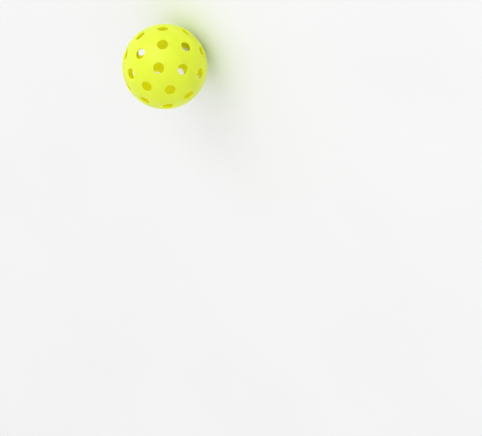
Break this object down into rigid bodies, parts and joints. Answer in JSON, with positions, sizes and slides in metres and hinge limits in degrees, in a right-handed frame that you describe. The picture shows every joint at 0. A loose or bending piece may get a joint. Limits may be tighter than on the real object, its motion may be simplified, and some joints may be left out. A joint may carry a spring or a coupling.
{
  "type": "pickleball ball",
  "caption": "Hollow perforated outdoor pickleball in bright yellow-green: matching half shells with rings of round holes, welded rim to rim along the seam.",
  "frame": {"origin": "the ball's centre", "axes": "+Z through the pole of the upper shell, at right angles to the weld seam, which is the equator; +X through a hole of the upper shell's ring beside the seam"},
  "size_m": [0.074, 0.074, 0.074],
  "materials": {
    "shell_plastic": "satin moulded polyethylene, optic yellow",
    "bead_plastic": "smooth melt of the same polyethylene"
  },
  "bodies": {
    "root": {"upper_shell": "shell_plastic", "lower_shell": "shell_plastic", "weld_bead": "bead_plastic"}
  },
  "joints": []
}
